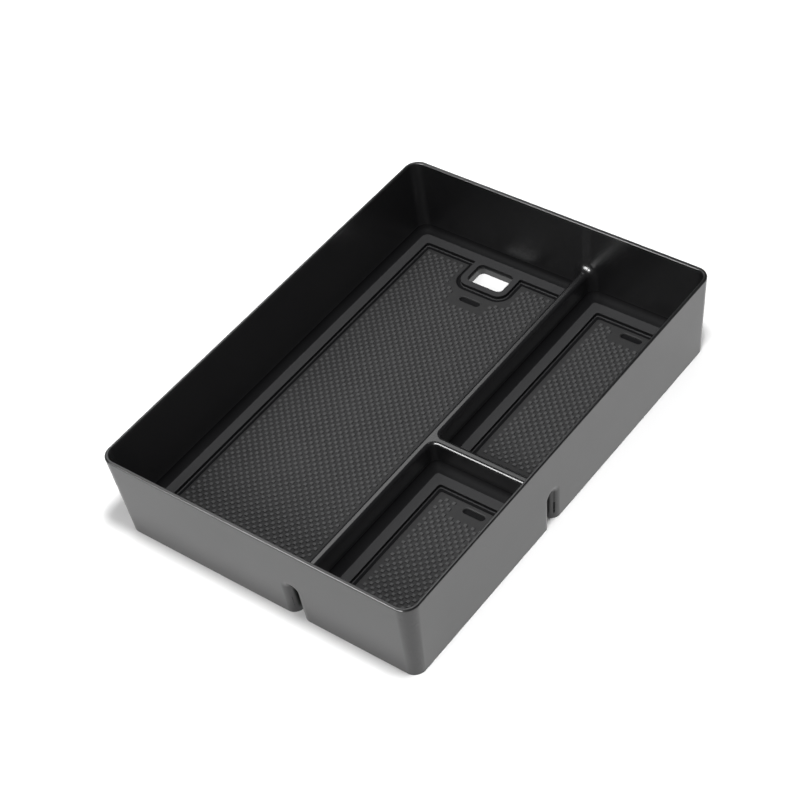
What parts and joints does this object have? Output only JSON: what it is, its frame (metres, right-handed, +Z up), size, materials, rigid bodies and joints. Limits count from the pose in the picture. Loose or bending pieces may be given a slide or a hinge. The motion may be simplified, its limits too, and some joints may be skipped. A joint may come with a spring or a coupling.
{
  "type": "center console organizer tray",
  "caption": "Open rectangular console organizer tray whose long and short compartments are split by low hollow dividers, with loose textured rubber mats and a cable hole.",
  "frame": {"origin": "table level under the middle of the rim", "axes": "+Y along the long side, towards the wall that has the cable hole beside it; +X towards the two short compartments; +Z up"},
  "size_m": [0.2188, 0.2998, 0.06],
  "materials": {
    "tray_plastic": "black moulded plastic, satin gloss",
    "mat_rubber": "matte charcoal rubber with a fine raised weave"
  },
  "bodies": {
    "root": {"tray": "tray_plastic", "mat_main": "mat_rubber", "mat_far": "mat_rubber", "mat_near": "mat_rubber"}
  },
  "joints": []
}
